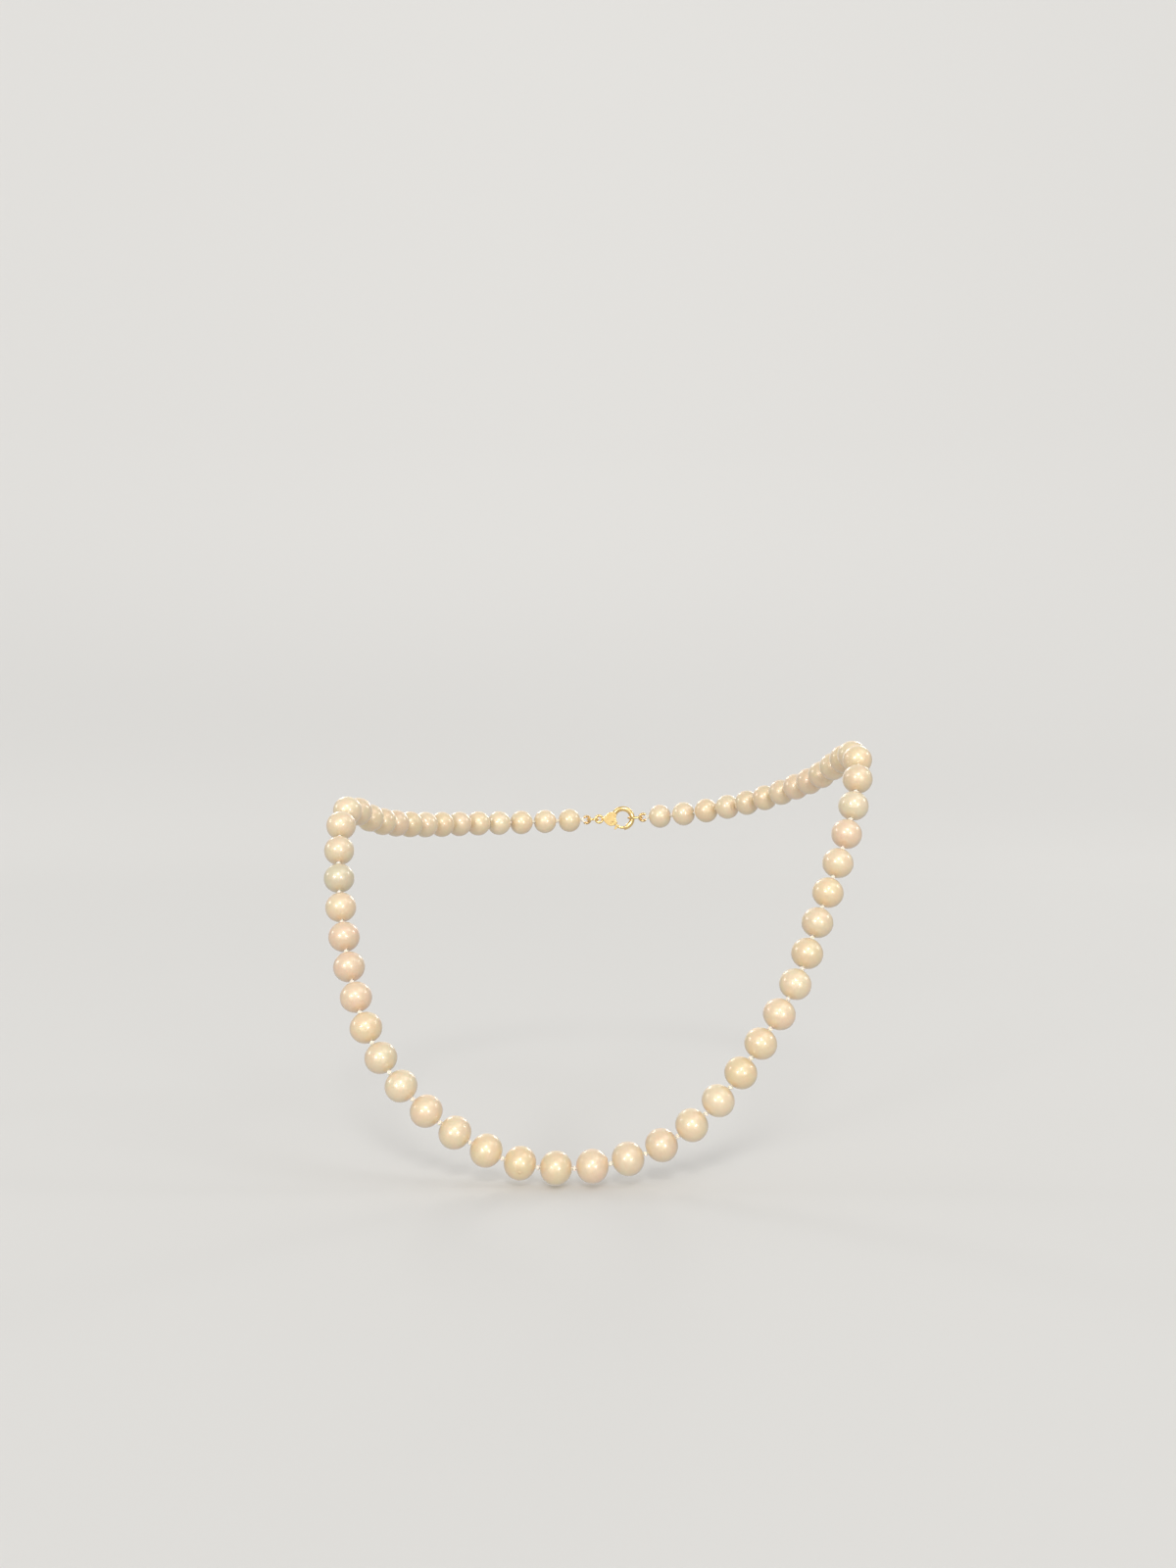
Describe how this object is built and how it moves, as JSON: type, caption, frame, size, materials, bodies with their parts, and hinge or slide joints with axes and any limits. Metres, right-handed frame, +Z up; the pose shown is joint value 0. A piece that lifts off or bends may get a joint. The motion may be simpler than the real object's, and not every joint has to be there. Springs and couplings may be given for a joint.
{
  "type": "pearl necklace",
  "caption": "Knotted single-strand pearl necklace with near-round cream pearls, silk thread and a lobster-claw clasp, posed as worn.",
  "frame": {"origin": "midway between the two places where the strand rests on the shoulders, at the mount neck_rest", "axes": "+X to the right as seen from the front, +Y to the back, +Z up; posed as worn, the front drape towards -Y"},
  "size_m": [0.1243, 0.1157, 0.0929],
  "materials": {
    "pearl": "nacre with a soft deep lustre, cream to pinkish cream",
    "silk": "twisted cream-white silk",
    "gold": "polished gold colour",
    "gimp_wire": "fine coiled gold-coloured wire",
    "spring_steel": "plain drawn wire"
  },
  "bodies": {
    "root": {"pearls_shoulder": "pearl", "silk_shoulder": "silk"},
    "back_arc": {"pearls_back_left": "pearl", "pearls_back_right": "pearl", "silk_back_left": "silk", "silk_back_right": "silk", "gimp_left": "gimp_wire", "gimp_right": "gimp_wire"},
    "clasp": {"claw_body": "gold", "jump_ring": "gold", "catch_ring": "gold", "lever_pin": "gold", "lever_spring": "spring_steel"},
    "lever": {"claw_lever": "gold"},
    "drape_01": {"silk_01": "silk"},
    "drape_02": {"silk_02": "silk"},
    "drape_03": {"silk_03": "silk"},
    "drape_04": {"silk_04": "silk"},
    "drape_05": {"silk_05": "silk"},
    "drape_06": {"silk_06": "silk"},
    "drape_07": {"silk_07": "silk"},
    "drape_08": {"silk_08": "silk"},
    "drape_09": {"silk_09": "silk"},
    "drape_10": {"silk_10": "silk"},
    "drape_11": {"silk_11": "silk"},
    "drape_12": {"silk_12": "silk"},
    "drape_13": {"silk_13": "silk"},
    "drape_14": {"silk_14": "silk"},
    "drape_15": {"silk_15": "silk"},
    "pearl_left_15_body": {"pearl_left_15": "pearl"},
    "pearl_left_14_body": {"pearl_left_14": "pearl"},
    "pearl_left_13_body": {"pearl_left_13": "pearl"},
    "pearl_left_12_body": {"pearl_left_12": "pearl"},
    "pearl_left_11_body": {"pearl_left_11": "pearl"},
    "pearl_left_10_body": {"pearl_left_10": "pearl"},
    "pearl_left_09_body": {"pearl_left_09": "pearl"},
    "pearl_left_08_body": {"pearl_left_08": "pearl"},
    "pearl_left_07_body": {"pearl_left_07": "pearl"},
    "pearl_left_06_body": {"pearl_left_06": "pearl"},
    "pearl_left_05_body": {"pearl_left_05": "pearl"},
    "pearl_left_04_body": {"pearl_left_04": "pearl"},
    "pearl_left_03_body": {"pearl_left_03": "pearl"},
    "pearl_left_02_body": {"pearl_left_02": "pearl"},
    "pearl_left_01_body": {"pearl_left_01": "pearl"},
    "pearl_centre_body": {"pearl_centre": "pearl"},
    "pearl_right_01_body": {"pearl_right_01": "pearl"},
    "pearl_right_02_body": {"pearl_right_02": "pearl"},
    "pearl_right_03_body": {"pearl_right_03": "pearl"},
    "pearl_right_04_body": {"pearl_right_04": "pearl"},
    "pearl_right_05_body": {"pearl_right_05": "pearl"},
    "pearl_right_06_body": {"pearl_right_06": "pearl"},
    "pearl_right_07_body": {"pearl_right_07": "pearl"},
    "pearl_right_08_body": {"pearl_right_08": "pearl"},
    "pearl_right_09_body": {"pearl_right_09": "pearl"},
    "pearl_right_10_body": {"pearl_right_10": "pearl"},
    "pearl_right_11_body": {"pearl_right_11": "pearl"},
    "pearl_right_12_body": {"pearl_right_12": "pearl"},
    "pearl_right_13_body": {"pearl_right_13": "pearl"},
    "pearl_right_14_body": {"pearl_right_14": "pearl"},
    "pearl_right_15_body": {"pearl_right_15": "pearl"}
  },
  "joints": [
    {"name": "back_lift", "type": "hinge", "parent": "root", "child": "back_arc", "pos_m": [0.00084, 0.00741, -0.00048], "axis": [0.9914, -0.0498, 0.1212], "range_deg": [0, 35]},
    {"name": "clasp_lever", "type": "hinge", "parent": "clasp", "child": "lever", "pos_m": [0.00375, 0.06888, -0.01065], "axis": [-0.0739, -0.9973, 0], "range_deg": [0, 35], "stiffness_Nm_per_rad": 0.003, "springref_deg": -5.73},
    {"name": "clasp_roll", "type": "hinge", "parent": "back_arc", "child": "clasp", "pos_m": [0.00435, 0.06883, -0.00947], "axis": [0.9963, -0.0739, 0.0443], "range_deg": [-25, 25]},
    {"name": "drape_01_lift", "type": "hinge", "parent": "root", "child": "drape_01", "pos_m": [-0.00057, -0.00623, -0.00142], "axis": [-0.9945, 0.0493, -0.0922], "range_deg": [0, 60]},
    {"name": "drape_02_lift", "type": "hinge", "parent": "drape_01", "child": "drape_02", "pos_m": [-0.00117, -0.0107, -0.00696], "axis": [-0.9952, 0.042, -0.0883], "range_deg": [0, 20]},
    {"name": "drape_03_lift", "type": "hinge", "parent": "drape_02", "child": "drape_03", "pos_m": [-0.00184, -0.01461, -0.01288], "axis": [-0.9956, 0.0353, -0.0873], "range_deg": [0, 20]},
    {"name": "drape_04_lift", "type": "hinge", "parent": "drape_03", "child": "drape_04", "pos_m": [-0.00259, -0.0179, -0.0191], "axis": [-0.9956, 0.0292, -0.0892], "range_deg": [0, 20]},
    {"name": "drape_05_lift", "type": "hinge", "parent": "drape_04", "child": "drape_05", "pos_m": [-0.00327, -0.02112, -0.02531], "axis": [-0.9956, 0.0214, -0.0914], "range_deg": [0, 20]},
    {"name": "drape_06_lift", "type": "hinge", "parent": "drape_05", "child": "drape_06", "pos_m": [-0.00388, -0.02427, -0.03151], "axis": [-0.9955, 0.0122, -0.0938], "range_deg": [0, 20]},
    {"name": "drape_07_lift", "type": "hinge", "parent": "drape_06", "child": "drape_07", "pos_m": [-0.00428, -0.02741, -0.0377], "axis": [-0.9954, 0.0027, -0.0959], "range_deg": [0, 20]},
    {"name": "drape_08_lift", "type": "hinge", "parent": "drape_07", "child": "drape_08", "pos_m": [-0.00444, -0.03056, -0.04389], "axis": [-0.9953, -0.0067, -0.097], "range_deg": [0, 20]},
    {"name": "drape_09_lift", "type": "hinge", "parent": "drape_08", "child": "drape_09", "pos_m": [-0.00456, -0.03324, -0.04996], "axis": [-0.9947, -0.0149, -0.1019], "range_deg": [0, 20]},
    {"name": "drape_10_lift", "type": "hinge", "parent": "drape_09", "child": "drape_10", "pos_m": [-0.00458, -0.0354, -0.05581], "axis": [-0.9936, -0.0208, -0.1108], "range_deg": [0, 20]},
    {"name": "drape_11_lift", "type": "hinge", "parent": "drape_10", "child": "drape_11", "pos_m": [-0.0042, -0.037, -0.06138], "axis": [-0.9929, -0.0226, -0.1166], "range_deg": [0, 20]},
    {"name": "drape_12_lift", "type": "hinge", "parent": "drape_11", "child": "drape_12", "pos_m": [-0.00353, -0.03805, -0.06664], "axis": [-0.993, -0.0204, -0.1162], "range_deg": [0, 20]},
    {"name": "drape_13_lift", "type": "hinge", "parent": "drape_12", "child": "drape_13", "pos_m": [-0.00299, -0.0389, -0.07124], "axis": [-0.993, -0.0189, -0.1169], "range_deg": [0, 20]},
    {"name": "drape_14_lift", "type": "hinge", "parent": "drape_13", "child": "drape_14", "pos_m": [-0.00256, -0.0395, -0.07513], "axis": [-0.9925, -0.018, -0.1208], "range_deg": [0, 20]},
    {"name": "drape_15_lift", "type": "hinge", "parent": "drape_14", "child": "drape_15", "pos_m": [-0.00225, -0.03988, -0.07774], "axis": [-0.9922, -0.0172, -0.1234], "range_deg": [0, 20]},
    {"name": "pearl_centre_spin", "type": "hinge", "parent": "drape_15", "child": "pearl_centre_body", "pos_m": [-0.0021, -0.03999, -0.07886], "axis": [0.9925, 0.0169, 0.1208], "continuous": true},
    {"name": "pearl_left_01_spin", "type": "hinge", "parent": "drape_15", "child": "pearl_left_01_body", "pos_m": [-0.00962, -0.04006, -0.07922], "axis": [0.9996, 0.0027, -0.0263], "continuous": true},
    {"name": "pearl_right_01_spin", "type": "hinge", "parent": "drape_15", "child": "pearl_right_01_body", "pos_m": [0.00527, -0.0398, -0.07738], "axis": [0.9615, 0.0315, 0.273], "continuous": true},
    {"name": "pearl_left_02_spin", "type": "hinge", "parent": "drape_14", "child": "pearl_left_02_body", "pos_m": [-0.01702, -0.03995, -0.07823], "axis": [0.9706, -0.0319, -0.2385], "continuous": true},
    {"name": "pearl_right_02_spin", "type": "hinge", "parent": "drape_14", "child": "pearl_right_02_body", "pos_m": [0.01221, -0.03943, -0.07464], "axis": [0.8869, 0.068, 0.4568], "continuous": true},
    {"name": "pearl_left_03_spin", "type": "hinge", "parent": "drape_13", "child": "pearl_left_03_body", "pos_m": [-0.02404, -0.0396, -0.07572], "axis": [0.9009, -0.0631, -0.4294], "continuous": true},
    {"name": "pearl_right_03_spin", "type": "hinge", "parent": "drape_13", "child": "pearl_right_03_body", "pos_m": [0.01849, -0.0388, -0.07064], "axis": [0.787, 0.0994, 0.6089], "continuous": true},
    {"name": "pearl_left_04_spin", "type": "hinge", "parent": "drape_12", "child": "pearl_left_04_body", "pos_m": [-0.03055, -0.03902, -0.07214], "axis": [0.8433, -0.0921, -0.5295], "continuous": true},
    {"name": "pearl_right_04_spin", "type": "hinge", "parent": "drape_12", "child": "pearl_right_04_body", "pos_m": [0.02403, -0.03793, -0.06574], "axis": [0.6971, 0.1335, 0.7045], "continuous": true},
    {"name": "pearl_left_05_spin", "type": "hinge", "parent": "drape_11", "child": "pearl_left_05_body", "pos_m": [-0.03657, -0.03824, -0.06784], "axis": [0.7714, -0.1172, -0.6254], "continuous": true},
    {"name": "pearl_right_05_spin", "type": "hinge", "parent": "drape_11", "child": "pearl_right_05_body", "pos_m": [0.02883, -0.03681, -0.06018], "axis": [0.5914, 0.1667, 0.7889], "continuous": true},
    {"name": "pearl_left_06_spin", "type": "hinge", "parent": "drape_10", "child": "pearl_left_06_body", "pos_m": [-0.04192, -0.03702, -0.06288], "axis": [0.6712, -0.2108, -0.7107], "continuous": true},
    {"name": "pearl_right_06_spin", "type": "hinge", "parent": "drape_10", "child": "pearl_right_06_body", "pos_m": [0.03314, -0.03538, -0.0543], "axis": [0.5683, 0.2191, 0.7931], "continuous": true},
    {"name": "pearl_left_07_spin", "type": "hinge", "parent": "drape_09", "child": "pearl_left_07_body", "pos_m": [-0.04638, -0.03507, -0.05735], "axis": [0.5334, -0.3164, -0.7845], "continuous": true},
    {"name": "pearl_right_07_spin", "type": "hinge", "parent": "drape_09", "child": "pearl_right_07_body", "pos_m": [0.03724, -0.03358, -0.04842], "axis": [0.5408, 0.2684, 0.7972], "continuous": true},
    {"name": "pearl_left_08_spin", "type": "hinge", "parent": "drape_08", "child": "pearl_left_08_body", "pos_m": [-0.04988, -0.03239, -0.05146], "axis": [0.4137, -0.4111, -0.8123], "continuous": true},
    {"name": "pearl_right_08_spin", "type": "hinge", "parent": "drape_08", "child": "pearl_right_08_body", "pos_m": [0.04088, -0.03141, -0.04239], "axis": [0.446, 0.3184, 0.8365], "continuous": true},
    {"name": "pearl_left_09_spin", "type": "hinge", "parent": "drape_07", "child": "pearl_left_09_body", "pos_m": [-0.05249, -0.02907, -0.04546], "axis": [0.2954, -0.4899, -0.8202], "continuous": true},
    {"name": "pearl_right_09_spin", "type": "hinge", "parent": "drape_07", "child": "pearl_right_09_body", "pos_m": [0.04377, -0.02889, -0.03613], "axis": [0.3377, 0.3681, 0.8663], "continuous": true},
    {"name": "pearl_left_10_spin", "type": "hinge", "parent": "drape_06", "child": "pearl_left_10_body", "pos_m": [-0.05448, -0.02546, -0.0394], "axis": [0.248, -0.4971, -0.8315], "continuous": true},
    {"name": "pearl_right_10_spin", "type": "hinge", "parent": "drape_06", "child": "pearl_right_10_body", "pos_m": [0.04632, -0.02622, -0.0298], "axis": [0.3588, 0.3611, 0.8607], "continuous": true},
    {"name": "pearl_left_11_spin", "type": "hinge", "parent": "drape_05", "child": "pearl_left_11_body", "pos_m": [-0.05612, -0.0218, -0.03329], "axis": [0.2006, -0.5035, -0.8404], "continuous": true},
    {"name": "pearl_right_11_spin", "type": "hinge", "parent": "drape_05", "child": "pearl_right_11_body", "pos_m": [0.04897, -0.02358, -0.02352], "axis": [0.3673, 0.3599, 0.8576], "continuous": true},
    {"name": "pearl_left_12_spin", "type": "hinge", "parent": "drape_04", "child": "pearl_left_12_body", "pos_m": [-0.05741, -0.01812, -0.02715], "axis": [0.1551, -0.5074, -0.8476], "continuous": true},
    {"name": "pearl_right_12_spin", "type": "hinge", "parent": "drape_04", "child": "pearl_right_12_body", "pos_m": [0.05155, -0.02089, -0.01727], "axis": [0.341, 0.3786, 0.8605], "continuous": true},
    {"name": "pearl_left_13_spin", "type": "hinge", "parent": "drape_03", "child": "pearl_left_13_body", "pos_m": [-0.05836, -0.01443, -0.02097], "axis": [0.106, -0.5084, -0.8546], "continuous": true},
    {"name": "pearl_right_13_spin", "type": "hinge", "parent": "drape_03", "child": "pearl_right_13_body", "pos_m": [0.05393, -0.01807, -0.01101], "axis": [0.3134, 0.3991, 0.8617], "continuous": true},
    {"name": "pearl_left_14_spin", "type": "hinge", "parent": "drape_02", "child": "pearl_left_14_body", "pos_m": [-0.05897, -0.01042, -0.01499], "axis": [0.0613, -0.5998, -0.7978], "continuous": true},
    {"name": "pearl_right_14_spin", "type": "hinge", "parent": "drape_02", "child": "pearl_right_14_body", "pos_m": [0.05596, -0.01489, -0.00485], "axis": [0.2474, 0.4812, 0.841], "continuous": true},
    {"name": "pearl_left_15_spin", "type": "hinge", "parent": "drape_01", "child": "pearl_left_15_body", "pos_m": [-0.05924, -0.00578, -0.00949], "axis": [0.0151, -0.686, -0.7275], "continuous": true},
    {"name": "pearl_right_15_spin", "type": "hinge", "parent": "drape_01", "child": "pearl_right_15_body", "pos_m": [0.0575, -0.01114, 0.0011], "axis": [0.1799, 0.557, 0.8108], "continuous": true}
  ]
}
